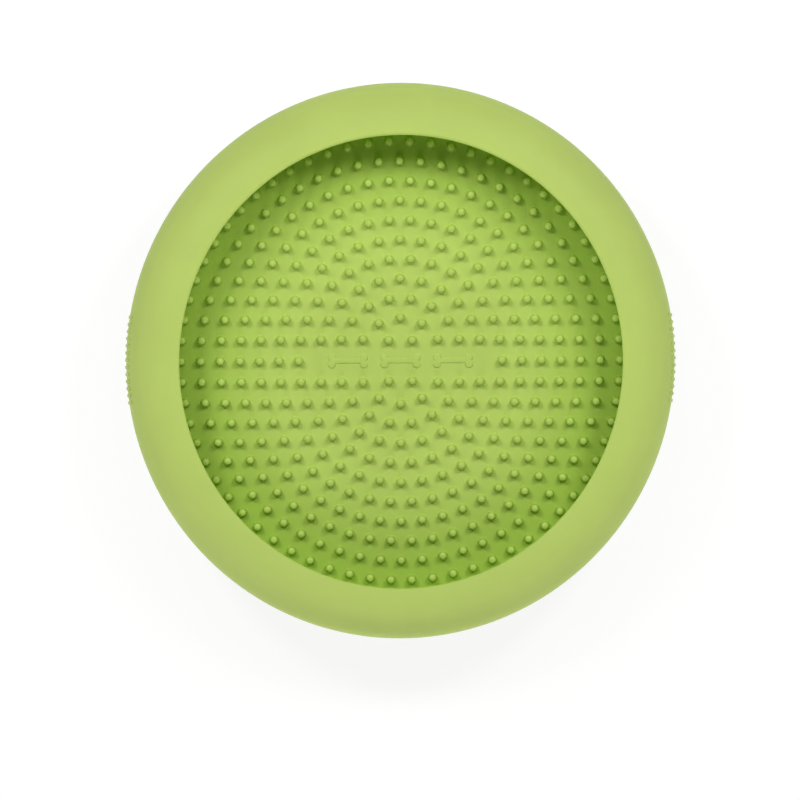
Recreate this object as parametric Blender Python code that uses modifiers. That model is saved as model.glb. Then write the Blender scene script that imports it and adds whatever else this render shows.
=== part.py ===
"""Pet lick bowl: a moulded rubber bowl with a nubbed lick mat, held down by a suction cup under its base.

Metres, +Z up. The origin is on the bowl's axis, on the surface that the suction cup stands on.
Every piece is turned about that axis. Heights stack up from the suction cup's lip to the rim's crown.
"""

import math

import bmesh
import bpy
from mathutils import Matrix

# Fit between pieces that touch or seat in each other
FIT_GAP = 0.0003

# Mouth and rim of the bowl
MOUTH_DIAMETER = 0.146
RIM_WIDTH = 0.017
SHOULDER_DROP = 0.0145
LIP_RADIUS = 0.0012
LIP_OVERHANG = 0.007

# Well inside the bowl
WELL_DEPTH = 0.0197
COVE_RADIUS = 0.005
COVE_SWEEP = math.radians(85.0)

# Base of the bowl
FLOOR_THICKNESS = 0.004
FOOT_DIAMETER = 0.128
FOOT_WIDTH = 0.004
FOOT_CLEARANCE = 0.002
FOOT_DRAFT = 0.0015

# Lick mat and its nubs
MAT_THICKNESS = 0.003
NUB_BASE_DIAMETER = 0.0032
NUB_TIP_DIAMETER = 0.0022
NUB_HEIGHT = 0.003
NUB_ROOT = 0.0005
FIRST_RING_RADIUS = 0.0077
RING_PITCH = 0.0064
NUBS_ADDED_PER_RING = 6
BARE_BAND_RINGS = 4

# Retaining stud that snaps the suction cup to the bowl
STUD_STEM_DIAMETER = 0.014
STUD_HEAD_DIAMETER = 0.022
STUD_HEAD_THICKNESS = 0.0029
STUD_HEAD_CHAMFER = 0.0012
STUD_FLANGE_DIAMETER = 0.020
STUD_FLANGE_THICKNESS = 0.0015
STUD_CLEARANCE = 0.002

# Socket for the stud, under the bowl's floor
SOCKET_NECK = 0.0025
SOCKET_ROOF = 0.0025
BOSS_WALL = 0.0047
BOSS_DRAFT = 0.0005

# Suction cup
CUP_STROKE = 0.004
CUP_MARGIN = 0.004
CUP_COLLAR_THICKNESS = 0.0024
CUP_COLLAR_WIDTH = 0.003
CUP_LIP_THICKNESS = 0.0012
CUP_LIP_WIDTH = 0.0025
TAB_LENGTH = 0.014
TAB_WIDTH = 0.014
TAB_THICKNESS = 0.0012
TAB_LIFT = 0.0003

# Fineness of the turned shapes
TURN_STEPS = 48
COVE_STEPS = 6
LIP_STEPS = 4
SHOULDER_STEPS = 8
BELLY_STEPS = 8
SKIRT_STEPS = 6
TAB_STEPS = 8
NUB_SIDES = 5
MERGE_DISTANCE = 0.00001
FLAT_ANGLE = math.radians(0.5)

# Finishes, with colours as linear RGB
GREEN_RUBBER = (0.45, 0.60, 0.13, 1.0)
GREEN_PLASTIC = (0.30, 0.46, 0.09, 1.0)
BOWL_ROUGHNESS = 0.55
MAT_ROUGHNESS = 0.50
CUP_ROUGHNESS = 0.40
PLASTIC_ROUGHNESS = 0.35

# Radii, from the axis outwards
STEM_RADIUS = STUD_STEM_DIAMETER / 2
HEAD_RADIUS = STUD_HEAD_DIAMETER / 2
FLANGE_RADIUS = STUD_FLANGE_DIAMETER / 2
BOSS_RADIUS = HEAD_RADIUS + FIT_GAP + BOSS_WALL
COLLAR_RADIUS = FLANGE_RADIUS + CUP_COLLAR_WIDTH
FOOT_RADIUS = FOOT_DIAMETER / 2
CUP_RADIUS = FOOT_RADIUS - FOOT_WIDTH - CUP_MARGIN
MOUTH_RADIUS = MOUTH_DIAMETER / 2
CROWN_RADIUS = MOUTH_RADIUS + LIP_RADIUS
RIM_RADIUS = MOUTH_RADIUS + RIM_WIDTH
COVE_CENTRE_RADIUS = MOUTH_RADIUS + LIP_OVERHANG - COVE_RADIUS

# Heights, from the standing surface upwards
FOOT_HEIGHT = CUP_STROKE + FOOT_CLEARANCE
STUD_BOTTOM = CUP_STROKE + STUD_CLEARANCE
FLANGE_TOP = STUD_BOTTOM + STUD_FLANGE_THICKNESS
COLLAR_BOTTOM = FLANGE_TOP + FIT_GAP
COLLAR_TOP = COLLAR_BOTTOM + CUP_COLLAR_THICKNESS
BOSS_BOTTOM = COLLAR_TOP + FIT_GAP
SOCKET_LEDGE = BOSS_BOTTOM + SOCKET_NECK
HEAD_BOTTOM = SOCKET_LEDGE + FIT_GAP
HEAD_TOP = HEAD_BOTTOM + STUD_HEAD_THICKNESS
SOCKET_TOP = HEAD_TOP + FIT_GAP
FLOOR_TOP = SOCKET_TOP + SOCKET_ROOF
FLOOR_BOTTOM = FLOOR_TOP - FLOOR_THICKNESS
MAT_BOTTOM = FLOOR_TOP + FIT_GAP
MAT_TOP = MAT_BOTTOM + MAT_THICKNESS
COVE_CENTRE_HEIGHT = MAT_TOP + COVE_RADIUS
CROWN_HEIGHT = MAT_TOP + WELL_DEPTH
EQUATOR_HEIGHT = CROWN_HEIGHT - SHOULDER_DROP


def clear_scene():
    for old in list(bpy.data.objects):
        bpy.data.objects.remove(old)


def new_collection(name):
    made = bpy.data.collections.new(name)
    bpy.context.scene.collection.children.link(made)
    return made


def new_material(name, colour, roughness):
    made = bpy.data.materials.new(name)
    made.use_nodes = True
    shader = made.node_tree.nodes["Principled BSDF"]
    shader.inputs["Base Color"].default_value = colour
    shader.inputs["Roughness"].default_value = roughness
    shader.inputs["Metallic"].default_value = 0.0
    made.diffuse_color = colour
    return made


def arc(centre, radii, start, end, steps):
    """Points (radius, height) of an elliptical arc. An angle of 0 points away from the axis, pi/2 up."""
    points = []
    for step in range(steps + 1):
        angle = start + (end - start) * step / steps
        points.append((centre[0] + radii[0] * math.cos(angle), centre[1] + radii[1] * math.sin(angle)))
    return points


def cove(radius, sweep, upwards=True):
    """Points of the round corner between the well's floor and its wall, at a radius from its centre."""
    floor_end = -math.pi / 2
    wall_end = floor_end + sweep
    start, end = (floor_end, wall_end) if upwards else (wall_end, floor_end)
    return arc((COVE_CENTRE_RADIUS, COVE_CENTRE_HEIGHT), (radius, radius), start, end, COVE_STEPS)


def turned(name, profile, material, collection):
    """A piece turned about Z. The profile runs from the axis outwards over the top, and back underneath."""
    mesh = bpy.data.meshes.new(name)
    shape = bmesh.new()
    corners = [shape.verts.new((radius, 0.0, height)) for radius, height in profile]
    for first, second in zip(corners, corners[1:]):
        shape.edges.new((first, second))
    shape.to_mesh(mesh)
    shape.free()
    mesh.materials.append(material)
    piece = bpy.data.objects.new(name, mesh)
    collection.objects.link(piece)
    screw = piece.modifiers.new("turn", "SCREW")
    screw.axis = "Z"
    screw.angle = 2 * math.pi
    screw.steps = TURN_STEPS
    screw.render_steps = TURN_STEPS
    screw.use_merge_vertices = True
    screw.merge_threshold = MERGE_DISTANCE
    screw.use_smooth_shade = True
    return piece


def join_on(piece, other):
    """Adds a union with the other object, which then only helps to make this piece."""
    other.hide_render = True
    other.display_type = "WIRE"
    union = piece.modifiers.new("join " + other.name, "BOOLEAN")
    union.operation = "UNION"
    union.solver = "EXACT"
    union.object = other


def bowl_shell(material, collection):
    """The bowl itself: floor, cove, lip, rounded rim, belly, foot ring, and the stud's socket below."""
    seat_radius = COVE_RADIUS + MAT_THICKNESS + FIT_GAP
    seat_sweep = COVE_SWEEP + FIT_GAP / COVE_RADIUS
    lip_seat = cove(COVE_RADIUS, seat_sweep)[-1]
    lip_centre = (CROWN_RADIUS, CROWN_HEIGHT - LIP_RADIUS)
    shoulder_centre = (CROWN_RADIUS, EQUATOR_HEIGHT)
    shoulder_radii = (RIM_RADIUS - CROWN_RADIUS, SHOULDER_DROP)
    belly_centre = (FOOT_RADIUS, EQUATOR_HEIGHT)
    belly_radii = (RIM_RADIUS - FOOT_RADIUS, EQUATOR_HEIGHT - FOOT_HEIGHT)
    foot_inside = FOOT_RADIUS - FOOT_WIDTH
    neck_radius = STEM_RADIUS + FIT_GAP
    socket_radius = HEAD_RADIUS + FIT_GAP

    profile = [(0.0, FLOOR_TOP)]
    profile += cove(seat_radius, seat_sweep)
    profile += [lip_seat]
    profile += arc(lip_centre, (LIP_RADIUS, LIP_RADIUS), 1.5 * math.pi, 0.5 * math.pi, LIP_STEPS)
    profile += arc(shoulder_centre, shoulder_radii, 0.5 * math.pi, 0.0, SHOULDER_STEPS)[1:]
    profile += arc(belly_centre, belly_radii, 0.0, -0.5 * math.pi, BELLY_STEPS)[1:]
    profile += [(foot_inside, FOOT_HEIGHT), (foot_inside - FOOT_DRAFT, FLOOR_BOTTOM)]
    profile += [(BOSS_RADIUS + BOSS_DRAFT, FLOOR_BOTTOM), (BOSS_RADIUS, BOSS_BOTTOM)]
    profile += [(neck_radius, BOSS_BOTTOM), (neck_radius, SOCKET_LEDGE)]
    profile += [(socket_radius, SOCKET_LEDGE), (socket_radius, SOCKET_TOP), (0.0, SOCKET_TOP)]
    return turned("bowl_shell", profile, material, collection)


def nub_places():
    """(radius, angle) of each nub.

    The rings fill the mat's flat floor, and ring n has n times as many nubs as the first.
    The inner rings leave out the two nubs on the X axis, where the mat has a bare band.
    """
    places = []
    ring = 1
    radius = FIRST_RING_RADIUS
    while radius + NUB_BASE_DIAMETER / 2 < COVE_CENTRE_RADIUS:
        count = NUBS_ADDED_PER_RING * ring
        for index in range(count):
            on_x_axis = (2 * index) % count == 0
            if not (on_x_axis and ring <= BARE_BAND_RINGS):
                places.append((radius, 2 * math.pi * index / count))
        ring += 1
        radius += RING_PITCH
    return places


def nubs(collection):
    """All the nubs as tapered studs, rooted below the mat's face."""
    shape = bmesh.new()
    middle = MAT_TOP + (NUB_HEIGHT - NUB_ROOT) / 2
    for radius, angle in nub_places():
        bmesh.ops.create_cone(
            shape,
            cap_ends=True,
            segments=NUB_SIDES,
            radius1=NUB_BASE_DIAMETER / 2,
            radius2=NUB_TIP_DIAMETER / 2,
            depth=NUB_HEIGHT + NUB_ROOT,
            matrix=Matrix.Rotation(angle, 4, "Z") @ Matrix.Translation((radius, 0.0, middle)),
        )
    mesh = bpy.data.meshes.new("nubs")
    shape.to_mesh(mesh)
    shape.free()
    piece = bpy.data.objects.new("nubs", mesh)
    collection.objects.link(piece)
    return piece


def lick_mat(material, collection, helpers):
    """The nubbed mat that lines the well. Its turned-up edge is tucked under the lip."""
    profile = [(0.0, MAT_TOP)]
    profile += cove(COVE_RADIUS, COVE_SWEEP)
    profile += cove(COVE_RADIUS + MAT_THICKNESS, COVE_SWEEP, upwards=False)
    profile += [(0.0, MAT_BOTTOM)]
    piece = turned("lick_mat", profile, material, collection)
    flatten = piece.modifiers.new("merge flat faces", "DECIMATE")
    flatten.decimate_type = "DISSOLVE"
    flatten.angle_limit = FLAT_ANGLE
    join_on(piece, nubs(helpers))
    return piece


def retaining_stud(material, collection):
    """The snap-in stud: a head for the bowl's socket, a stem through the cup, and a flange under it."""
    profile = [(0.0, HEAD_TOP), (HEAD_RADIUS - STUD_HEAD_CHAMFER, HEAD_TOP)]
    profile += [(HEAD_RADIUS, HEAD_TOP - STUD_HEAD_CHAMFER), (HEAD_RADIUS, HEAD_BOTTOM)]
    profile += [(STEM_RADIUS, HEAD_BOTTOM), (STEM_RADIUS, FLANGE_TOP)]
    profile += [(FLANGE_RADIUS, FLANGE_TOP), (FLANGE_RADIUS, STUD_BOTTOM), (0.0, STUD_BOTTOM)]
    return turned("retaining_stud", profile, material, collection)


def skirt_curve(inner, outer, top, bottom):
    """Points of a dome that leaves the collar level and steepens towards the lip, as a parabola."""
    points = []
    for step in range(SKIRT_STEPS + 1):
        share = step / SKIRT_STEPS
        points.append((inner + (outer - inner) * share, bottom + (top - bottom) * (1 - share * share)))
    return points


def release_tab(collection):
    """The flat tongue on the cup's lip that a finger lifts to let the air in."""
    inner = CUP_RADIUS - CUP_LIP_WIDTH / 2
    half_width = TAB_WIDTH / 2
    round_centre = CUP_RADIUS + TAB_LENGTH - half_width
    outline = [(inner, -half_width)]
    outline += arc((round_centre, 0.0), (half_width, half_width), -0.5 * math.pi, 0.5 * math.pi, TAB_STEPS)
    outline += [(inner, half_width)]
    shape = bmesh.new()
    face = shape.faces.new([shape.verts.new((x, y, TAB_LIFT)) for x, y in outline])
    raised = bmesh.ops.extrude_face_region(shape, geom=[face])["geom"]
    corners = [item for item in raised if isinstance(item, bmesh.types.BMVert)]
    bmesh.ops.translate(shape, verts=corners, vec=(0.0, 0.0, TAB_THICKNESS))
    bmesh.ops.recalc_face_normals(shape, faces=shape.faces)
    bmesh.ops.rotate(shape, verts=shape.verts, matrix=Matrix.Rotation(-0.5 * math.pi, 3, "Z"))
    mesh = bpy.data.meshes.new("release_tab")
    shape.to_mesh(mesh)
    shape.free()
    piece = bpy.data.objects.new("release_tab", mesh)
    collection.objects.link(piece)
    return piece


def suction_cup(material, collection, helpers):
    """The soft cup: a collar around the stud's stem and a thin domed skirt down to a flat sealing lip."""
    hole_radius = STEM_RADIUS + FIT_GAP
    seal_inside = CUP_RADIUS - CUP_LIP_WIDTH
    flange_room = FLANGE_RADIUS + 2 * FIT_GAP
    profile = [(hole_radius, COLLAR_TOP)]
    profile += skirt_curve(COLLAR_RADIUS, CUP_RADIUS, COLLAR_TOP, CUP_LIP_THICKNESS)
    profile += [(CUP_RADIUS, 0.0)]
    profile += reversed(skirt_curve(flange_room, seal_inside, COLLAR_BOTTOM, 0.0))
    profile += [(hole_radius, COLLAR_BOTTOM), (hole_radius, COLLAR_TOP)]
    piece = turned("suction_cup", profile, material, collection)
    join_on(piece, release_tab(helpers))
    return piece


def main():
    clear_scene()
    parts = new_collection("pet_lick_bowl")
    helpers = new_collection("helpers")
    bowl_rubber = new_material("bowl_rubber", GREEN_RUBBER, BOWL_ROUGHNESS)
    mat_rubber = new_material("mat_rubber", GREEN_RUBBER, MAT_ROUGHNESS)
    cup_rubber = new_material("cup_rubber", GREEN_RUBBER, CUP_ROUGHNESS)
    stud_plastic = new_material("stud_plastic", GREEN_PLASTIC, PLASTIC_ROUGHNESS)

    swivel = bpy.data.objects.new("swivel_axis", None)
    swivel.location = (0.0, 0.0, 0.0)
    parts.objects.link(swivel)
    bowl_shell(bowl_rubber, parts)
    lick_mat(mat_rubber, parts, helpers)
    for moving in (retaining_stud(stud_plastic, parts), suction_cup(cup_rubber, parts, helpers)):
        moving.parent = swivel


main()
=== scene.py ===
"""Finished look of a pet lick bowl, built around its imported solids: moulded rubber, nubbed mat, suction cup.

Metres, +Z up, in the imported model's frame. Laid out as an add-on and run as a script.
"""

import math

import bmesh
import bpy
from bpy.props import FloatProperty, FloatVectorProperty, IntProperty, PointerProperty
from bpy.types import Operator, Panel, PropertyGroup
from mathutils import Matrix, Vector


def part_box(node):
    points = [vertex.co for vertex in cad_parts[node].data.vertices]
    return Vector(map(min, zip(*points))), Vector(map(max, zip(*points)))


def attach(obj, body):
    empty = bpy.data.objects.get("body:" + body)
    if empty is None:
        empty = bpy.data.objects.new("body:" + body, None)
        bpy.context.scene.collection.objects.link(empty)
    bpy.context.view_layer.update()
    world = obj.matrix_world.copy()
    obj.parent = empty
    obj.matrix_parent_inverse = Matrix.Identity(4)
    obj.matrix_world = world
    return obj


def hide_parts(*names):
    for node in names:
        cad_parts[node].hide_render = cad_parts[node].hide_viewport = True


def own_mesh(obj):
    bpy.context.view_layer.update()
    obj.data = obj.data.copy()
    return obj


bl_info = {
    "name": "Pet lick bowl",
    "version": (1, 0, 0),
    "blender": (4, 5, 0),
    "location": "3D View > Sidebar > Lick bowl",
    "description": "Models a moulded rubber lick bowl with a nubbed mat and a suction cup",
    "category": "Object",
}

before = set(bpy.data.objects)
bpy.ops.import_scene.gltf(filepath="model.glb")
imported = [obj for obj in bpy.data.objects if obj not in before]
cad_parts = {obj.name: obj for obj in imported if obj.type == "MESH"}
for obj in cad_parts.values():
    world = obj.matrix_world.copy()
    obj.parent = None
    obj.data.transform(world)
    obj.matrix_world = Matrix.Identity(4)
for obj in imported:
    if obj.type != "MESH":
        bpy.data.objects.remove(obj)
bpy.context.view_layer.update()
SHELL_LOW, SHELL_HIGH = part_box("bowl_shell")
MAT_LOW, MAT_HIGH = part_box("lick_mat")
CUP_LOW, CUP_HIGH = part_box("suction_cup")
STUD_LOW, STUD_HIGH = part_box("retaining_stud")

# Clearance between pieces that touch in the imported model
FIT_GAP = 0.0003

# How far the floor lies below the suction cup's lip, so that their faces don't lie in one plane
FLOOR_GAP = 0.0001

# The photograph's frame, in pixels
IMAGE_SIZE = 800
IMAGE_BOWL_WIDTH = 551.2
IMAGE_WELL_CENTRE = (400.6, 360.6)
IMAGE_TURN = math.radians(0.26)

# Fineness of the shapes: steps of a full turn, steps of an arc, and segments of a rounding
TURN_STEPS = 240
NUB_STEPS = 12
FLOOR_STEPS = 64
COVE_STEPS = 16
LIP_STEPS = 12
RIM_STEPS = 28
CROWN_STEPS = 2
KNOB_STEPS = 14
SKIRT_STEPS = 24
TAB_STEPS = 24
CORNER_SEGMENTS = 4
EDGE_SEGMENTS = 3
BAR_SEGMENTS = 2
SMOOTH_ANGLE = math.radians(32.0)

# In degrees: how far the side's arcs stop short of the parting line, and where a nub's crown starts
PARTING_ANGLE = 4.0
CROWN_ANGLE = 60.0

# Rounding of a bone's and of the tab's edges, as a share of the bone's relief and of the tab's thickness
BONE_ROUNDING = 0.7
TAB_ROUNDING = 0.3

# Below these, corners are merged, an edge counts as level, and two faces count as one flat face
MERGE_DISTANCE = 1e-6
LEVEL_DISTANCE = 1e-7
FLAT_ANGLE = 1e-4

# Noise behind the mottle, the gloss and the grain, the part of its range that is used, and the grain's depth
# as a share of its size
CLOUDS = {"Scale": 45.0, "Detail": 4.0, "Roughness": 0.6}
SMEARS = {"Scale": 160.0, "Detail": 5.0, "Roughness": 0.65}
PITS = {"Detail": 3.0, "Roughness": 0.55}
NOISE_RANGE = {"From Min": 0.3, "From Max": 0.7}
PIT_DEPTH = 0.1


def length(name, description, default):
    """A length property, in metres."""
    return FloatProperty(
        name=name, description=description, default=default, min=0.0, precision=5, unit="LENGTH"
    )


def angle(name, description, degrees):
    """An angle property, written here in degrees."""
    return FloatProperty(name=name, description=description, default=math.radians(degrees), subtype="ANGLE")


def number(name, description, default):
    """A plain number property."""
    return FloatProperty(name=name, description=description, default=default, min=0.0, precision=4)


def count(name, description, default):
    """A property that counts things."""
    return IntProperty(name=name, description=description, default=default, min=1)


def sizes(name, description, default):
    """A width and a height, in metres."""
    return FloatVectorProperty(name=name, description=description, default=default, size=2, unit="LENGTH")


def colour(name, description, default):
    """A linear RGB colour property."""
    return FloatVectorProperty(
        name=name, description=description, default=default, min=0.0, max=1.0, subtype="COLOR"
    )


class BowlSizes(PropertyGroup):
    """Sizes of the bowl and its rim."""

    rim_radius: length("Rim radius", "From the axis to the widest part of the side", SHELL_HIGH.x)
    mouth_radius: length("Mouth radius", "From the axis to the lip's edge", 0.073)
    lip_radius: length("Lip rounding", "Rounding of the lip's edge", 0.0012)
    lip_overhang: length("Lip overhang", "How far the lip reaches in past the wall", 0.007)
    shoulder_drop: length("Shoulder drop", "From the rim's crown down to the widest part", 0.0145)
    well_depth: length("Well depth", "From the rim's crown down to the mat's face", 0.0197)
    cove_radius: length("Cove radius", "Rounding between the mat's floor and its wall", 0.005)
    cove_sweep: angle("Cove sweep", "How far the mat turns up into the wall", 85.0)
    floor_thickness: length("Floor thickness", "Rubber under the mat", 0.004)
    foot_radius: length("Foot radius", "From the axis to the foot ring's outer edge", 0.064)
    foot_width: length("Foot width", "Width of the foot ring", 0.004)
    foot_draft: length("Foot draft", "How far the foot ring's inside leans", 0.0015)
    boss_radius: length("Boss radius", "From the axis to the outside of the stud's boss", 0.016)
    boss_drop: length("Boss drop", "From the floor's underside to the end of the boss", 0.0045)
    neck_length: length("Neck length", "Length of the narrow neck of the stud's socket", 0.0025)
    edge_radius: length("Edge rounding", "Rounding of the moulded edges underneath", 0.0008)
    parting_width: length("Parting line width", "Width of the mould's parting line round the side", 0.0006)
    parting_height: length("Parting line height", "How far the parting line stands out", 0.00012)
    out_of_round: length("Out of round", "How far the soft lip strays from a true circle", 0.00095)
    long_way: angle("Long way", "Direction in which the soft rim is longest", 83.0)
    lip_shift: length("Lip shift", "How far the soft lip lies off the bowl's centre", 0.0005)
    shift_way: angle("Shift way", "Direction in which the soft lip lies off", -65.0)
    grip_ribs: count("Grip ribs", "Ribs in each grip, at the left and the right", 13)
    grip_reach: length("Grip reach", "How far a grip reaches above and below the widest part", 0.0055)
    grip_relief: length("Grip relief", "How far the grip ribs stand out", 0.00038)
    grip_slope: length("Grip slope", "Width of the slope round each grip rib", 0.00018)


class MatSizes(PropertyGroup):
    """Sizes of the mat, its nubs and the bones in its bare band."""

    thickness: length("Thickness", "Thickness of the mat", 0.003)
    rings: count("Rings", "Rings of nubs", 11)
    ring_nubs: count("Ring nubs", "How many nubs each ring has more than the one inside it", 6)
    bare_rings: count("Bare rings", "Inner rings without the nubs in the bare band", 4)
    first_ring: length("First ring", "Radius of the innermost ring", 0.0077)
    ring_pitch: length("Ring pitch", "From ring to ring", 0.0064)
    nub_base: length("Nub base", "Radius of a nub at its foot", 0.0016)
    nub_tip: length("Nub tip", "Radius of a nub below its rounded top", 0.00115)
    nub_height: length("Nub height", "Height of a nub", 0.003)
    nub_crown: length("Nub crown", "Height of a nub's rounded top", 0.0007)
    nub_fillet: length("Nub fillet", "Rounding at a nub's foot", 0.00025)
    nub_root: length("Nub root", "How deep a nub starts below the mat's face", 0.0004)
    bones: count("Bones", "Raised bones in the bare band", 3)
    bone_pitch: length("Bone pitch", "From bone to bone", 0.0172)
    bone_length: length("Bone length", "From knob centre to knob centre of a bone", 0.0105)
    bone_knob: length("Bone knob", "Radius of a bone's knobs", 0.0013)
    bone_spread: length("Bone spread", "From a bone's middle line to a knob's centre", 0.0011)
    bone_waist: length("Bone waist", "From a bone's middle line to the edge of its shaft", 0.0008)
    bone_relief: length("Bone relief", "How far the bones stand out", 0.00035)


class CupSizes(PropertyGroup):
    """Sizes of the suction cup and its release tab."""

    radius: length("Cup radius", "From the axis to the edge of the sealing lip", CUP_HIGH.x)
    lip_width: length("Lip width", "Width of the flat sealing lip", 0.0025)
    lip_thickness: length("Lip thickness", "Thickness of the sealing lip", 0.0012)
    collar_thickness: length("Collar thickness", "Thickness of the collar round the stud", 0.0024)
    collar_radius: length("Collar radius", "From the axis to where the skirt leaves the collar", 0.013)
    tab_width: length("Tab width", "Width of the release tab", 0.014)
    tab_thickness: length("Tab thickness", "Thickness of the release tab", 0.0012)
    tab_lift: length("Tab lift", "Height of the tab above the sealing face", 0.0003)
    tab_bars: count("Tab bars", "Raised bars on the release tab", 3)
    bar_start: length("Bar start", "From the cup's edge to the first bar's middle", 0.0035)
    bar_pitch: length("Bar pitch", "From bar to bar", 0.0025)
    bar_length: length("Bar length", "Length of a bar, across the tab", 0.0077)
    bar_width: length("Bar width", "Width and height of a bar, half of it sunk in the tab", 0.0009)
    bar_rounding: length("Bar rounding", "Rounding of a bar's edges", 0.0003)


class StudSizes(PropertyGroup):
    """Sizes of the snap-in stud."""

    head_radius: length("Head radius", "Radius of the mushroom head", STUD_HIGH.x)
    head_thickness: length("Head thickness", "Thickness of the head", 0.0029)
    head_chamfer: length("Head chamfer", "Chamfer that leads the head into its socket", 0.0012)
    stem_radius: length("Stem radius", "Radius of the stem", 0.007)
    flange_radius: length("Flange radius", "Radius of the flange under the cup", 0.010)
    flange_thickness: length("Flange thickness", "Thickness of the flange", 0.0015)
    edge_radius: length("Edge rounding", "Rounding of the moulded edges", 0.0003)
    dimple_radius: length("Dimple radius", "Radius of the rim of the dimple under the flange", 0.006)
    dimple_floor: length("Dimple floor", "Radius of the dimple's flat floor", 0.005)
    dimple_depth: length("Dimple depth", "Depth of the dimple", 0.0006)


class Finish(PropertyGroup):
    """Colours and surface of the rubber and the plastic, with painted shade in the bowl's and the mat's
    colours.
    """

    # Painted shade: the bowl's rubber is painted paler at the lip and the rim's top, and darker down its side,
    # where less light falls
    lip: colour("Lip", "The bowl's rubber along its lip, where it is painted pale", (0.525, 0.679, 0.154))
    side: colour("Side", "The bowl's rubber on its side, and the cup's", (0.463, 0.590, 0.138))
    # Painted shade: the mat is painted darker green from half the mouth's radius out to its edge, where the
    # walls and the lip shade it; the nub tops stay pale
    mat_middle: colour("Mat middle", "The mat's middle, where it is tinted pale", (0.525, 0.694, 0.145))
    mat_edge_painted_shade: colour("Mat edge", "The mat along its edge", (0.353, 0.533, 0.067))
    plastic: colour("Plastic", "The stud's plastic", (0.30, 0.46, 0.09))
    mottle: number("Mottle", "How far the tone of a surface strays from its colour", 0.03)
    rubber_roughness: number("Rubber roughness", "Mean roughness of the rubber", 0.55)
    cup_roughness: number("Cup roughness", "Mean roughness of the soft cup", 0.43)
    plastic_roughness: number("Plastic roughness", "Mean roughness of the plastic", 0.38)
    specular: number("Specular", "How strongly the surfaces mirror the lights", 0.2)
    gloss_spread: number("Gloss spread", "How far the roughness strays from its mean", 0.05)
    grain: length("Grain", "Size of the mould's fine grain", 0.0005)
    grain_strength: number("Grain strength", "How clearly the grain shows", 0.15)


class StageSizes(PropertyGroup):
    """The floor, the lights and the camera."""

    camera_distance: length("Camera distance", "From the bowl's widest part up to the camera", 4.0)
    floor_size: length("Floor size", "Half the width of the floor", 6.0)
    floor_white: number("Floor white", "The floor's white as the bowl's surfaces see it", 0.85)
    floor_glow: number("Floor glow", "The part of the floor's white by the bowl that no shadow darkens", 0.85)
    glow_start: length("Glow start", "From the bowl to where the floor starts to glow more", 0.2)
    glow_end: length("Glow end", "From the bowl to where the floor glows fully white", 1.2)
    floor_shade: number("Floor shade", "The part of the floor's white that the lamps light", 0.20)
    sky: number("Sky", "Strength of the even light from all round", 0.02)
    lamp_distance: length("Lamp distance", "From the bowl to each softbox", 1.0)
    corner_swing: angle("Corner swing", "How far the corner softboxes are swung from the back or front", 45.0)
    key_strength: number("Key strength", "Light of each of the two key softboxes at the back corners", 0.335)
    key_tilt: angle("Key tilt", "How far they stand from straight above", 40.0)
    key_size: sizes("Key size", "Width and height of each key softbox", (0.18, 0.34))
    back_strength: number("Back strength", "Light of the softbox between them", 0.18)
    back_tilt: angle("Back tilt", "How far it stands from straight above", 30.0)
    back_size: sizes("Back size", "Width and height of the softbox at the back", (0.5, 0.22))
    front_strength: number("Front strength", "Light of the softbox in front", 0.235)
    front_tilt: angle("Front tilt", "How far it stands from straight above", 63.0)
    front_size: sizes("Front size", "Width and height of the softbox in front", (0.5, 0.8))
    low_strength: number("Low strength", "Light of each low softbox at the front corners", 0.235)
    side_strength: number("Side strength", "Light of each low softbox at the left and the right", 0.08)
    low_tilt: angle("Low tilt", "How far the low softboxes stand from straight above", 80.0)
    low_size: sizes("Low size", "Width and height of each low softbox", (0.5, 0.12))


class LickBowl(PropertyGroup):
    """All the settings of the lick bowl."""

    bowl: PointerProperty(type=BowlSizes)
    mat: PointerProperty(type=MatSizes)
    cup: PointerProperty(type=CupSizes)
    stud: PointerProperty(type=StudSizes)
    finish: PointerProperty(type=Finish)
    stage: PointerProperty(type=StageSizes)


def arc(centre, radii, start, end, steps):
    """Corners of an elliptical arc, as (radius, height) or (x, y).

    Angles are in degrees: 0 points along the first of the two, 90 along the second.
    """
    corners = []
    for step in range(steps + 1):
        turn = math.radians(start + (end - start) * step / steps)
        corners.append((centre[0] + radii[0] * math.cos(turn), centre[1] + radii[1] * math.sin(turn)))
    return corners


def turned(profile, steps, rounded=(), rounding=0.0):
    """A closed bmesh turned about Z.

    The profile's corners, as (radius, height), run over the top and back underneath.
    The corners whose places in the profile are listed in rounded are rounded off first.
    """
    shape = bmesh.new()
    corners = [shape.verts.new((radius, 0.0, height)) for radius, height in profile]
    for first, second in zip(corners, corners[1:]):
        shape.edges.new((first, second))
    sharp = [corners[place] for place in rounded]
    if sharp:
        bmesh.ops.bevel(
            shape,
            geom=sharp,
            offset=rounding,
            segments=CORNER_SEGMENTS,
            profile=0.5,
            affect="VERTICES",
            material=-1,
        )
    bmesh.ops.spin(
        shape,
        geom=shape.verts[:] + shape.edges[:],
        cent=(0.0, 0.0, 0.0),
        axis=(0.0, 0.0, 1.0),
        angle=2 * math.pi,
        steps=steps,
        use_merge=True,
    )
    bmesh.ops.remove_doubles(shape, verts=shape.verts, dist=MERGE_DISTANCE)
    bmesh.ops.recalc_face_normals(shape, faces=shape.faces)
    return shape


def slab(outline, bottom, thickness):
    """A closed bmesh: a flat outline, as (x, y) corners, raised from the bottom by a thickness."""
    shape = bmesh.new()
    face = shape.faces.new([shape.verts.new((x, y, bottom)) for x, y in outline])
    raised = bmesh.ops.extrude_face_region(shape, geom=[face])["geom"]
    tops = [item for item in raised if isinstance(item, bmesh.types.BMVert)]
    bmesh.ops.translate(shape, verts=tops, vec=(0.0, 0.0, thickness))
    bmesh.ops.recalc_face_normals(shape, faces=shape.faces)
    return shape


def round_edges(shape, edges, rounding, segments):
    """Rounds off edges of a bmesh."""
    bmesh.ops.bevel(
        shape, geom=edges, offset=rounding, segments=segments, profile=0.5, affect="EDGES", material=-1
    )


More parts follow.
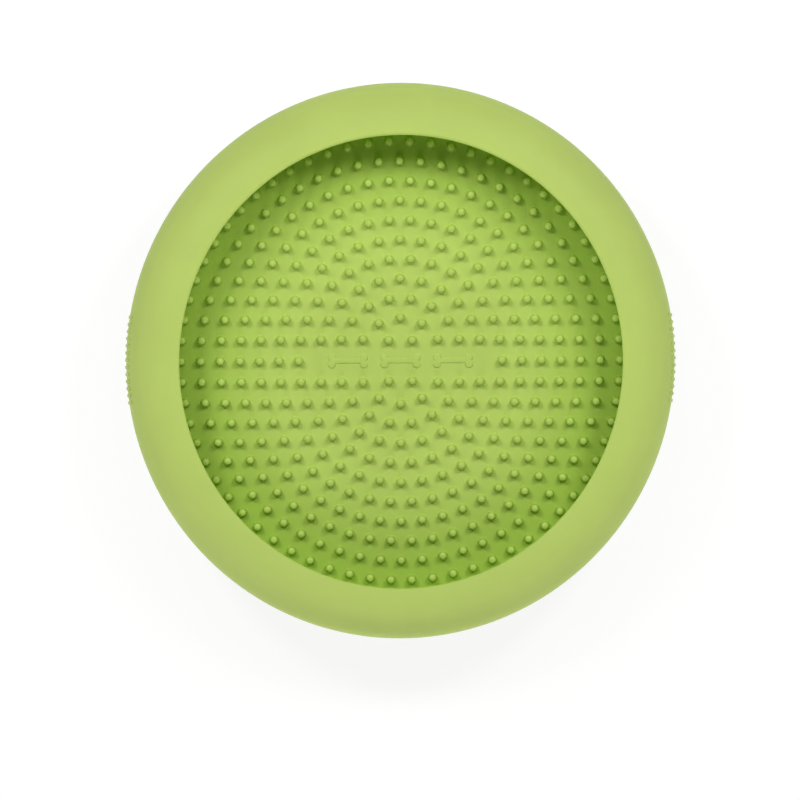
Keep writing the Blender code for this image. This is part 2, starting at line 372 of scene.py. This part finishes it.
def to_mesh(name, shape):
    """Turns a bmesh into a mesh, and frees it."""
    mesh = bpy.data.meshes.new(name)
    shape.to_mesh(mesh)
    shape.free()
    return mesh


def joined(base, *others):
    """One bmesh of closed shapes, joined with Boolean unions."""
    depsgraph = bpy.context.evaluated_depsgraph_get()
    blocks = []
    for shape in (base, *others):
        block = bpy.data.objects.new("block", to_mesh("block", shape))
        bpy.context.scene.collection.objects.link(block)
        blocks.append(block)
    for other in blocks[1:]:
        union = blocks[0].modifiers.new("join", "BOOLEAN")
        union.operation = "UNION"
        union.solver = "EXACT"
        union.object = other
    depsgraph.update()
    whole = bpy.data.meshes.new_from_object(blocks[0].evaluated_get(depsgraph))
    shape = bmesh.new()
    shape.from_mesh(whole)
    bpy.data.meshes.remove(whole)
    for block in blocks:
        mesh = block.data
        bpy.data.objects.remove(block)
        bpy.data.meshes.remove(mesh)
    return shape


def add_piece(name, shape, material, body, node):
    """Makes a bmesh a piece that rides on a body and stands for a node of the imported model."""
    mesh = to_mesh(name, shape)
    if not mesh.polygons:
        raise RuntimeError(name + " has no faces")
    mesh.materials.append(material)
    mesh.shade_smooth()
    mesh.set_sharp_from_angle(angle=SMOOTH_ANGLE)
    piece = bpy.data.objects.new(name, mesh)
    bpy.context.scene.collection.objects.link(piece)
    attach(piece, body)
    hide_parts(node)
    return piece


def add_node(material, kind, inputs=None, **settings):
    """Adds a shader node, with its sockets' values and its own settings."""
    node = material.node_tree.nodes.new(kind)
    for name, value in settings.items():
        setattr(node, name, value)
    for name, value in (inputs or {}).items():
        node.inputs[name].default_value = value
    return node


def grey(value):
    """A plain grey, as a colour socket takes it."""
    return (value, value, value, 1.0)


def noise(material, place, inputs):
    """A noise over a piece, with values about 0.5."""
    node = add_node(material, "ShaderNodeTexNoise", inputs)
    material.node_tree.links.new(place, node.inputs["Vector"])
    return node.outputs["Fac"]


def stray(material, value, mean, most):
    """A noise's value, made to stray from a mean."""
    inputs = {**NOISE_RANGE, "To Min": mean - most, "To Max": mean + most}
    node = add_node(material, "ShaderNodeMapRange", inputs)
    material.node_tree.links.new(value, node.inputs["Value"])
    return node.outputs["Result"]


def moulded(name, finish, roughness, inner, outer, reach, shade_free_tips=None):
    """A moulded surface whose colour changes from inner to outer over a reach of distances from the axis.

    On the bowl and the mat this change is painted shade, darker where less light falls. Above two given
    heights it turns back to the inner colour, so that the nub tops stay pale as if lit above the shade.
    It has a faint mottle, an uneven gloss and the mould's fine grain.
    """
    material = bpy.data.materials.new(name)
    material.use_nodes = True
    material.diffuse_color = (*outer, 1.0)
    link = material.node_tree.links.new
    shader = material.node_tree.nodes["Principled BSDF"]
    shader.inputs["Specular IOR Level"].default_value = finish.specular
    place = add_node(material, "ShaderNodeTexCoord").outputs["Object"]

    level = add_node(material, "ShaderNodeVectorMath", {1: (1.0, 1.0, 0.0)}, operation="MULTIPLY")
    away = add_node(material, "ShaderNodeVectorMath", operation="LENGTH")
    spread = add_node(material, "ShaderNodeMapRange", interpolation_type="SMOOTHSTEP")
    spread.inputs["From Min"].default_value = reach[0]
    spread.inputs["From Max"].default_value = reach[1]
    tone = add_node(material, "ShaderNodeMix", data_type="RGBA")
    tone.inputs["A"].default_value = (*inner, 1.0)
    tone.inputs["B"].default_value = (*outer, 1.0)
    link(place, level.inputs[0])
    link(level.outputs["Vector"], away.inputs[0])
    link(away.outputs["Value"], spread.inputs["Value"])
    link(spread.outputs["Result"], tone.inputs["Factor"])
    # Painted light: above the given heights the painted shade fades out, so the nub tops stay pale
    if shade_free_tips:
        height = add_node(material, "ShaderNodeSeparateXYZ")
        below = add_node(material, "ShaderNodeMapRange", {"To Max": 0.0}, interpolation_type="SMOOTHSTEP")
        below.inputs["From Min"].default_value = shade_free_tips[0]
        below.inputs["From Max"].default_value = shade_free_tips[1]
        link(place, height.inputs["Vector"])
        link(height.outputs["Z"], below.inputs["Value"])
        link(spread.outputs["Result"], below.inputs["To Min"])
        link(below.outputs["Result"], tone.inputs["Factor"])

    tint = add_node(material, "ShaderNodeHueSaturation")
    mottle = stray(material, noise(material, place, CLOUDS), 1.0, finish.mottle)
    link(mottle, tint.inputs["Value"])
    link(tone.outputs["Result"], tint.inputs["Color"])
    link(tint.outputs["Color"], shader.inputs["Base Color"])

    gloss = stray(material, noise(material, place, SMEARS), roughness, finish.gloss_spread)
    link(gloss, shader.inputs["Roughness"])

    relief = add_node(material, "ShaderNodeBump", {"Strength": finish.grain_strength})
    relief.inputs["Distance"].default_value = PIT_DEPTH * finish.grain
    link(noise(material, place, {**PITS, "Scale": 1.0 / finish.grain}), relief.inputs["Height"])
    link(relief.outputs["Normal"], shader.inputs["Normal"])
    return material


def mat_face(settings):
    """Height of the mat's flat face, and the centre (radius, height) of the cove round it."""
    bowl = settings.bowl
    face = MAT_LOW.z + settings.mat.thickness
    return face, (bowl.mouth_radius + bowl.lip_overhang - bowl.cove_radius, face + bowl.cove_radius)


def shell_profile(settings):
    """The bowl's section, from the axis over the floor and the rim and back underneath.

    With it come the places of the corners to round off.
    """
    bowl = settings.bowl
    stud = settings.stud
    face, cove_centre = mat_face(settings)
    crown = face + bowl.well_depth
    equator = crown - bowl.shoulder_drop
    floor_top = MAT_LOW.z - FIT_GAP
    floor_under = floor_top - bowl.floor_thickness
    foot = SHELL_LOW.z
    foot_inside = bowl.foot_radius - bowl.foot_width
    boss_end = floor_under - bowl.boss_drop
    neck = stud.stem_radius + FIT_GAP
    socket = stud.head_radius + FIT_GAP
    ledge = boss_end + bowl.neck_length
    socket_top = STUD_HIGH.z + FIT_GAP

    seat = bowl.cove_radius + settings.mat.thickness + FIT_GAP
    seat_end = math.degrees(bowl.cove_sweep + FIT_GAP / bowl.cove_radius) - 90.0
    crown_radius = bowl.mouth_radius + bowl.lip_radius
    lip_centre = (crown_radius, crown - bowl.lip_radius)
    shoulder = (bowl.rim_radius - crown_radius, bowl.shoulder_drop)
    belly = (bowl.rim_radius - bowl.foot_radius, equator - foot)
    half_line = bowl.parting_width / 2

    profile = [(0.0, floor_top)]
    profile += arc(cove_centre, (seat, seat), -90.0, seat_end, COVE_STEPS)
    # Past the mat's edge the wall steps in to the cove's own radius, at one corner
    profile += arc(cove_centre, (bowl.cove_radius, bowl.cove_radius), seat_end, seat_end, 1)[:1]
    profile += arc(lip_centre, (bowl.lip_radius, bowl.lip_radius), 270.0, 90.0, LIP_STEPS)
    profile += arc((crown_radius, equator), shoulder, 90.0, PARTING_ANGLE, RIM_STEPS)[1:]
    profile += [(bowl.rim_radius, equator + half_line)]
    profile += [(bowl.rim_radius + bowl.parting_height, equator)]
    profile += [(bowl.rim_radius, equator - half_line)]
    profile += arc((bowl.foot_radius, equator), belly, -PARTING_ANGLE, -90.0, RIM_STEPS)
    first = len(profile)
    profile += [(foot_inside, foot), (foot_inside - bowl.foot_draft, floor_under)]
    profile += [(bowl.boss_radius, floor_under), (bowl.boss_radius, boss_end)]
    profile += [(neck, boss_end), (neck, ledge), (socket, ledge), (socket, socket_top), (0.0, socket_top)]
    return profile, range(first, first + 4)


def is_level(edge):
    """Whether both ends of an edge lie at one height."""
    first, second = edge.verts
    return abs(first.co.z - second.co.z) < LEVEL_DISTANCE


def raise_grips(shape, settings):
    """Raises a row of upright ribs on the side, at the left and at the right.

    A column is one step of the turned side. Each rib is half a column wide.
    """
    bowl = settings.bowl
    equator = SHELL_HIGH.z - bowl.shoulder_drop
    half_column = math.pi / TURN_STEPS
    past_last_rib = bowl.grip_ribs + 0.5

    def half_columns_off(spot):
        """How many half columns a spot lies off the X axis."""
        return math.atan2(spot.y, abs(spot.x)) / half_column

    def on_side(corners):
        """Whether corners all lie on the outside, within the grips' reach of the widest part."""
        near = [abs(corner.co.z - equator) < bowl.grip_reach for corner in corners]
        outside = [corner.co.xy.length > bowl.rim_radius - bowl.grip_reach for corner in corners]
        return all(near) and all(outside)

    level = []
    for edge in shape.edges:
        first, second = (corner.co for corner in edge.verts)
        near = abs(half_columns_off((first + second) / 2)) < past_last_rib
        if near and is_level(edge) and on_side(edge.verts):
            level.append(edge)
    bmesh.ops.subdivide_edges(shape, edges=level, cuts=1)
    ribs = {}
    for face in shape.faces:
        middle = face.calc_center_median()
        place = math.floor(half_columns_off(middle))
        if place % 2 == 0 and abs(place) < bowl.grip_ribs and on_side(face.verts):
            ribs.setdefault((middle.x > 0.0, place), []).append(face)
    if not ribs:
        raise RuntimeError("no faces were found for the grips")
    for faces in ribs.values():
        bmesh.ops.inset_region(
            shape, faces=faces, thickness=bowl.grip_slope, depth=bowl.grip_relief, use_boundary=True
        )


def sway(shape, settings):
    """Lets the soft rim stray a little from a true circle, and its lip from the centre.

    The mat's seat stays true.
    """
    bowl = settings.bowl
    seat_radius = bowl.mouth_radius + bowl.lip_overhang + settings.mat.thickness
    shift = Matrix.Rotation(bowl.shift_way, 2) @ Vector((bowl.lip_shift, 0.0))
    for corner in shape.verts:
        radius = math.hypot(corner.co.x, corner.co.y)
        past_seat = min(max((radius - seat_radius) / (bowl.rim_radius - seat_radius), 0.0), 1.0)
        above_mat = min(max((corner.co.z - MAT_HIGH.z) / (SHELL_HIGH.z - MAT_HIGH.z), 0.0), 1.0)
        share = max(past_seat, above_mat) * corner.co.z / SHELL_HIGH.z
        if share > 0.0:
            turn = math.atan2(corner.co.y, corner.co.x) - bowl.long_way
            corner.co.xy *= 1.0 + share * bowl.out_of_round * math.cos(2 * turn) / radius
            corner.co.xy += shift * above_mat * (1.0 - past_seat)


def mat_profile(settings):
    """The mat's section: its floor, the cove up to its edge, and the same underneath."""
    bowl = settings.bowl
    face, centre = mat_face(settings)
    under = bowl.cove_radius + settings.mat.thickness
    end = math.degrees(bowl.cove_sweep) - 90.0
    profile = [(0.0, face)]
    profile += arc(centre, (bowl.cove_radius, bowl.cove_radius), -90.0, end, COVE_STEPS)
    profile += arc(centre, (under, under), end, -90.0, COVE_STEPS)
    profile += [(0.0, MAT_LOW.z)]
    return profile


def nub(mat):
    """One nub on the origin, with a rounded top and a fillet at its foot."""
    waist = mat.nub_height - mat.nub_crown
    profile = [(0.0, mat.nub_height)]
    profile += arc((0.0, waist), (mat.nub_tip, mat.nub_crown), CROWN_ANGLE, 0.0, CROWN_STEPS)
    profile += [(mat.nub_base, mat.nub_fillet), (mat.nub_base + mat.nub_fillet, 0.0)]
    profile += [(mat.nub_base + mat.nub_fillet, -mat.nub_root), (0.0, -mat.nub_root)]
    return turned(profile, NUB_STEPS)


def add_copy(shape, pattern, matrix):
    """Adds a copy of a mesh to a bmesh, placed by a matrix."""
    before = len(shape.verts)
    shape.from_mesh(pattern)
    shape.verts.ensure_lookup_table()
    bmesh.ops.transform(shape, matrix=matrix, verts=shape.verts[before:])


def nubs(settings):
    """All the nubs on the mat's floor.

    The inner rings leave out the two in the bare band.
    """
    mat = settings.mat
    face = mat_face(settings)[0]
    shape = bmesh.new()
    pattern = to_mesh("nub", nub(mat))
    for ring in range(1, mat.rings + 1):
        place = Matrix.Translation((mat.first_ring + (ring - 1) * mat.ring_pitch, 0.0, face))
        total = mat.ring_nubs * ring
        for index in range(total):
            bare = ring <= mat.bare_rings and (2 * index) % total == 0
            if not bare:
                add_copy(shape, pattern, Matrix.Rotation(2 * math.pi * index / total, 4, "Z") @ place)
    bpy.data.meshes.remove(pattern)
    return shape


def bone_outline(mat):
    """Corners (x, y) of a plain bone lying along X, centred on the origin."""
    half = mat.bone_length / 2
    knob = (mat.bone_knob, mat.bone_knob)
    start = 180.0 + math.degrees(math.asin((mat.bone_spread - mat.bone_waist) / mat.bone_knob))
    notch = -math.degrees(math.asin(mat.bone_spread / mat.bone_knob))
    upper = arc((half, mat.bone_spread), knob, start, notch, KNOB_STEPS)
    right = upper[:-1] + [(x, -y) for x, y in reversed(upper)]
    return right + [(-x, -y) for x, y in right]


def bones(settings):
    """A row of plain bones in the bare band, raised a little, with rounded edges."""
    mat = settings.mat
    face = mat_face(settings)[0]
    single = slab(bone_outline(mat), -mat.nub_root, mat.nub_root + mat.bone_relief)
    brow = [edge for edge in single.edges if min(corner.co.z for corner in edge.verts) > 0.0]
    round_edges(single, brow, BONE_ROUNDING * mat.bone_relief, EDGE_SEGMENTS)
    pattern = to_mesh("bone", single)
    shape = bmesh.new()
    for index in range(mat.bones):
        away = mat.bone_pitch * (index - (mat.bones - 1) / 2)
        add_copy(shape, pattern, Matrix.Translation((away, 0.0, face)))
    bpy.data.meshes.remove(pattern)
    return shape


def skirt(inner, outer, top, bottom, steps):
    """Corners of a dome that leaves the collar level and steepens towards the lip."""
    corners = []
    for step in range(steps + 1):
        share = step / steps
        corners.append((inner + (outer - inner) * share, bottom + (top - bottom) * (1.0 - share * share)))
    return corners


def cup_profile(settings):
    """The suction cup's section, from the collar's bore over the skirt and back underneath."""
    cup = settings.cup
    stud = settings.stud
    hole = stud.stem_radius + FIT_GAP
    top = CUP_HIGH.z
    under = top - cup.collar_thickness
    room = stud.flange_radius + 2 * FIT_GAP
    profile = [(hole, top)]
    profile += skirt(cup.collar_radius, cup.radius, top, cup.lip_thickness, SKIRT_STEPS)
    profile += [(cup.radius, 0.0)]
    profile += reversed(skirt(room, cup.radius - cup.lip_width, under, 0.0, SKIRT_STEPS))
    profile += [(hole, under), (hole, top)]
    return profile


def tab(settings):
    """The release tab on the cup's lip, towards -Y, with rounded edges."""
    cup = settings.cup
    half = cup.tab_width / 2
    reach = -CUP_LOW.y
    outline = [(cup.radius - cup.lip_width / 2, -half)]
    outline += arc((reach - half, 0.0), (half, half), -90.0, 90.0, TAB_STEPS)
    outline += [(cup.radius - cup.lip_width / 2, half)]
    shape = slab(outline, cup.tab_lift, cup.tab_thickness)
    level = [edge for edge in shape.edges if is_level(edge)]
    round_edges(shape, level, TAB_ROUNDING * cup.tab_thickness, EDGE_SEGMENTS)
    quarter_turn = Matrix.Rotation(-math.pi / 2, 3, "Z")
    bmesh.ops.rotate(shape, verts=shape.verts, cent=(0.0, 0.0, 0.0), matrix=quarter_turn)
    return shape


def tab_bars(settings):
    """Raised bars across the release tab, for a fingertip."""
    cup = settings.cup
    shape = bmesh.new()
    top = cup.tab_lift + cup.tab_thickness
    for index in range(cup.tab_bars):
        away = cup.radius + cup.bar_start + cup.bar_pitch * index
        size = Matrix.Diagonal((cup.bar_length, cup.bar_width, cup.bar_width, 1.0))
        place = Matrix.Translation((0.0, -away, top)) @ size
        made = bmesh.ops.create_cube(shape, size=1.0, matrix=place)["verts"]
        edges = list({edge for corner in made for edge in corner.link_edges})
        round_edges(shape, edges, cup.bar_rounding, BAR_SEGMENTS)
    return shape


def stud_profile(settings):
    """The stud's section, from the head's top down its side to the dimple under the flange.

    With it come the places of the corners to round off.
    """
    stud = settings.stud
    head_under = STUD_HIGH.z - stud.head_thickness
    flange_top = STUD_LOW.z + stud.flange_thickness
    profile = [(0.0, STUD_HIGH.z), (stud.head_radius - stud.head_chamfer, STUD_HIGH.z)]
    profile += [(stud.head_radius, STUD_HIGH.z - stud.head_chamfer), (stud.head_radius, head_under)]
    profile += [(stud.stem_radius, head_under), (stud.stem_radius, flange_top)]
    profile += [(stud.flange_radius, flange_top), (stud.flange_radius, STUD_LOW.z)]
    profile += [(stud.dimple_radius, STUD_LOW.z), (stud.dimple_floor, STUD_LOW.z + stud.dimple_depth)]
    profile += [(0.0, STUD_LOW.z + stud.dimple_depth)]
    return profile, (1, 2, 3, 6, 7)


class LICKBOWL_OT_shell(Operator):
    """Models the rubber bowl with its rim, lip, foot ring and side grips"""

    bl_idname = "lickbowl.shell"
    bl_label = "Bowl shell"

    def execute(self, context):
        settings = context.scene.lick_bowl
        profile, sharp = shell_profile(settings)
        shape = turned(profile, TURN_STEPS, sharp, settings.bowl.edge_radius)
        raise_grips(shape, settings)
        sway(shape, settings)
        finish = settings.finish
        bowl = settings.bowl
        # Painted shade: paler at the lip, darker out to the widest part of the side
        reach = (bowl.mouth_radius, bowl.rim_radius)
        rubber = moulded("bowl_rubber", finish, finish.rubber_roughness, finish.lip, finish.side, reach)
        add_piece("rubber_bowl", shape, rubber, "bowl", "bowl_shell")
        return {"FINISHED"}


class LICKBOWL_OT_mat(Operator):
    """Models the mat with its rings of nubs and the bones in its bare band"""

    bl_idname = "lickbowl.mat"
    bl_label = "Lick mat"

    def execute(self, context):
        settings = context.scene.lick_bowl
        dish = turned(mat_profile(settings), TURN_STEPS)
        flat = [edge for edge in dish.edges if edge.is_manifold and edge.calc_face_angle() < FLAT_ANGLE]
        bmesh.ops.dissolve_edges(dish, edges=flat, use_verts=True)
        shape = joined(dish, nubs(settings), bones(settings))
        finish = settings.finish
        # Painted shade: darker towards the mat's edge, with the nub tops above half their height kept pale as
        # if lit above the shade
        mouth = settings.bowl.mouth_radius
        reach = (mouth / 2, mouth)
        face = mat_face(settings)[0]
        shade_free_tips = (face + settings.mat.nub_height / 2, face + settings.mat.nub_height)
        rubber = moulded(
            "mat_rubber", finish, finish.rubber_roughness, finish.mat_middle, finish.mat_edge_painted_shade, reach, shade_free_tips
        )
        add_piece("nubbed_mat", shape, rubber, "bowl", "lick_mat")
        return {"FINISHED"}


class LICKBOWL_OT_cup(Operator):
    """Models the soft suction cup with its release tab"""

    bl_idname = "lickbowl.cup"
    bl_label = "Suction cup"

    def execute(self, context):
        settings = context.scene.lick_bowl
        disc = turned(cup_profile(settings), TURN_STEPS)
        shape = joined(disc, tab(settings), tab_bars(settings))
        finish = settings.finish
        reach = (settings.cup.collar_radius, settings.cup.radius)
        rubber = moulded("cup_rubber", finish, finish.cup_roughness, finish.side, finish.lip, reach)
        cup = add_piece("soft_cup", shape, rubber, "cup", "suction_cup")
        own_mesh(cup)
        return {"FINISHED"}


class LICKBOWL_OT_stud(Operator):
    """Models the plastic stud that snaps the cup to the bowl"""

    bl_idname = "lickbowl.stud"
    bl_label = "Retaining stud"

    def execute(self, context):
        settings = context.scene.lick_bowl
        profile, sharp = stud_profile(settings)
        shape = turned(profile, TURN_STEPS // 2, sharp, settings.stud.edge_radius)
        finish = settings.finish
        reach = (0.0, settings.stud.head_radius)
        tone = finish.plastic
        plastic = moulded("stud_plastic", finish, finish.plastic_roughness, tone, tone, reach)
        add_piece("snap_stud", shape, plastic, "stud", "retaining_stud")
        return {"FINISHED"}


def seen(nodes, links):
    """A value that is 1 for what a camera, gloss or glass ray sees, and 0 for light that reaches the bowl."""
    path = nodes.new("ShaderNodeLightPath")
    either = nodes.new("ShaderNodeMath")
    either.operation = "MAXIMUM"
    any_of = nodes.new("ShaderNodeMath")
    any_of.operation = "MAXIMUM"
    links.new(path.outputs["Is Camera Ray"], either.inputs[0])
    links.new(path.outputs["Is Glossy Ray"], either.inputs[1])
    links.new(either.outputs["Value"], any_of.inputs[0])
    links.new(path.outputs["Is Transmission Ray"], any_of.inputs[1])
    return any_of.outputs["Value"]


def lay_floor(stage):
    """A wide white floor that keeps the bowl's shadow, and that shows only from above.

    What looks at it sees most of its white as its own light.
    """
    shape = bmesh.new()
    bmesh.ops.create_circle(shape, cap_ends=True, segments=FLOOR_STEPS, radius=stage.floor_size)
    bmesh.ops.translate(shape, verts=shape.verts, vec=(0.0, 0.0, -FLOOR_GAP))
    mesh = to_mesh("floor", shape)
    material = bpy.data.materials.new("white_floor")
    material.use_nodes = True
    nodes = material.node_tree.nodes
    links = material.node_tree.links
    nodes.remove(nodes["Principled BSDF"])
    plain = add_node(material, "ShaderNodeBsdfDiffuse", {"Color": grey(stage.floor_white)})
    shade = add_node(material, "ShaderNodeBsdfDiffuse", {"Color": grey(stage.floor_shade)})
    place = add_node(material, "ShaderNodeTexCoord").outputs["Object"]
    away = add_node(material, "ShaderNodeVectorMath", operation="LENGTH")
    rise = add_node(material, "ShaderNodeMapRange", {"To Min": stage.floor_glow, "To Max": 1.0})
    rise.inputs["From Min"].default_value = stage.glow_start
    rise.inputs["From Max"].default_value = stage.glow_end
    glow = add_node(material, "ShaderNodeEmission")
    links.new(place, away.inputs[0])
    links.new(away.outputs["Value"], rise.inputs["Value"])
    links.new(rise.outputs["Result"], glow.inputs["Strength"])
    white = add_node(material, "ShaderNodeAddShader")
    either = add_node(material, "ShaderNodeMixShader")
    links.new(shade.outputs["BSDF"], white.inputs[0])
    links.new(glow.outputs["Emission"], white.inputs[1])
    links.new(seen(nodes, links), either.inputs["Fac"])
    links.new(plain.outputs["BSDF"], either.inputs[1])
    links.new(white.outputs["Shader"], either.inputs[2])
    under = add_node(material, "ShaderNodeNewGeometry").outputs["Backfacing"]
    clear = add_node(material, "ShaderNodeBsdfTransparent")
    above = add_node(material, "ShaderNodeMixShader")
    links.new(under, above.inputs["Fac"])
    links.new(either.outputs["Shader"], above.inputs[1])
    links.new(clear.outputs["BSDF"], above.inputs[2])
    links.new(above.outputs["Shader"], nodes["Material Output"].inputs["Surface"])
    mesh.materials.append(material)
    floor = bpy.data.objects.new("floor", mesh)
    bpy.context.scene.collection.objects.link(floor)


def light_sky(scene, stage):
    """An even white sky. The camera and reflections see it as plain white."""
    sky = bpy.data.worlds.new("sky")
    sky.use_nodes = True
    scene.world = sky
    nodes = sky.node_tree.nodes
    links = sky.node_tree.links
    strength = nodes.new("ShaderNodeMapRange")
    strength.inputs["To Min"].default_value = stage.sky
    strength.inputs["To Max"].default_value = 1.0
    links.new(seen(nodes, links), strength.inputs["Value"])
    nodes["Background"].inputs["Color"].default_value = grey(1.0)
    links.new(strength.outputs["Result"], nodes["Background"].inputs["Strength"])


def hang_lamp(name, stage, strength, swing, tilt, size):
    """A softbox that faces the bowl, swung to the left of the back and tilted from straight above.

    At a strength of 1 it fully lights a white card that faces it.
    """
    lamp = bpy.data.lights.new(name, "AREA")
    lamp.shape = "RECTANGLE"
    lamp.size, lamp.size_y = size
    lamp.energy = strength * math.pi ** 2 * stage.lamp_distance ** 2
    softbox = bpy.data.objects.new(name, lamp)
    away = Matrix.Rotation(swing, 3, "Z") @ Vector((0.0, math.sin(tilt), math.cos(tilt)))
    softbox.location = away * stage.lamp_distance
    softbox.rotation_euler = away.to_track_quat("Z", "Y").to_euler()
    bpy.context.scene.collection.objects.link(softbox)


def hang_lamps(stage):
    """Softboxes at the back, its corners and the front, and low ones at the front corners and the sides."""
    hang_lamp("back", stage, stage.back_strength, 0.0, stage.back_tilt, stage.back_size)
    hang_lamp("front", stage, stage.front_strength, math.pi, stage.front_tilt, stage.front_size)
    for name, side in (("left", 1.0), ("right", -1.0)):
        back = side * stage.corner_swing
        front = side * (math.pi - stage.corner_swing)
        beside = side * math.pi / 2
        hang_lamp("key_" + name, stage, stage.key_strength, back, stage.key_tilt, stage.key_size)
        hang_lamp("low_" + name, stage, stage.low_strength, front, stage.low_tilt, stage.low_size)
        hang_lamp("side_" + name, stage, stage.side_strength, beside, stage.low_tilt, stage.low_size)


def set_camera(scene, settings):
    """The camera straight above the bowl, with the bowl at the photograph's place and size."""
    stage = settings.stage
    equator = SHELL_HIGH.z - settings.bowl.shoulder_drop
    metres_per_pixel = 2 * settings.bowl.rim_radius / IMAGE_BOWL_WIDTH
    lens = bpy.data.cameras.new("camera")
    lens.lens = lens.sensor_width * stage.camera_distance / (IMAGE_SIZE * metres_per_pixel)
    lens.clip_end = 2 * stage.camera_distance
    camera = bpy.data.objects.new("camera", lens)
    across = (IMAGE_SIZE / 2 - IMAGE_WELL_CENTRE[0]) * metres_per_pixel
    along = (IMAGE_WELL_CENTRE[1] - IMAGE_SIZE / 2) * metres_per_pixel
    camera.location = (across, along, equator + stage.camera_distance)
    camera.rotation_euler.z = -IMAGE_TURN
    scene.collection.objects.link(camera)
    scene.camera = camera


class LICKBOWL_OT_stage(Operator):
    """Lays the white floor, and sets the lights and the camera"""

    bl_idname = "lickbowl.stage"
    bl_label = "Stage"

    def execute(self, context):
        settings = context.scene.lick_bowl
        lay_floor(settings.stage)
        light_sky(context.scene, settings.stage)
        hang_lamps(settings.stage)
        set_camera(context.scene, settings)
        context.scene.view_settings.view_transform = "Standard"
        return {"FINISHED"}


class LICKBOWL_PT_sidebar(Panel):
    """Lists the steps that model the lick bowl"""

    bl_idname = "LICKBOWL_PT_sidebar"
    bl_label = "Lick bowl"
    bl_space_type = "VIEW_3D"
    bl_region_type = "UI"
    bl_category = "Lick bowl"

    def draw(self, context):
        for step in STEPS:
            self.layout.operator(step.bl_idname)


GROUPS = (BowlSizes, MatSizes, CupSizes, StudSizes, Finish, StageSizes, LickBowl)
STEPS = (LICKBOWL_OT_shell, LICKBOWL_OT_mat, LICKBOWL_OT_cup, LICKBOWL_OT_stud, LICKBOWL_OT_stage)


def register():
    """Registers the settings, the steps and the sidebar."""
    for item in (*GROUPS, *STEPS, LICKBOWL_PT_sidebar):
        bpy.utils.register_class(item)
    bpy.types.Scene.lick_bowl = PointerProperty(type=LickBowl)


def unregister():
    """Takes them all out again."""
    del bpy.types.Scene.lick_bowl
    for item in reversed((*GROUPS, *STEPS, LICKBOWL_PT_sidebar)):
        bpy.utils.unregister_class(item)


def main():
    """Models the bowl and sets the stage."""
    register()
    bpy.ops.lickbowl.shell()
    bpy.ops.lickbowl.mat()
    bpy.ops.lickbowl.cup()
    bpy.ops.lickbowl.stud()
    bpy.ops.lickbowl.stage()


if __name__ == "__main__":
    main()
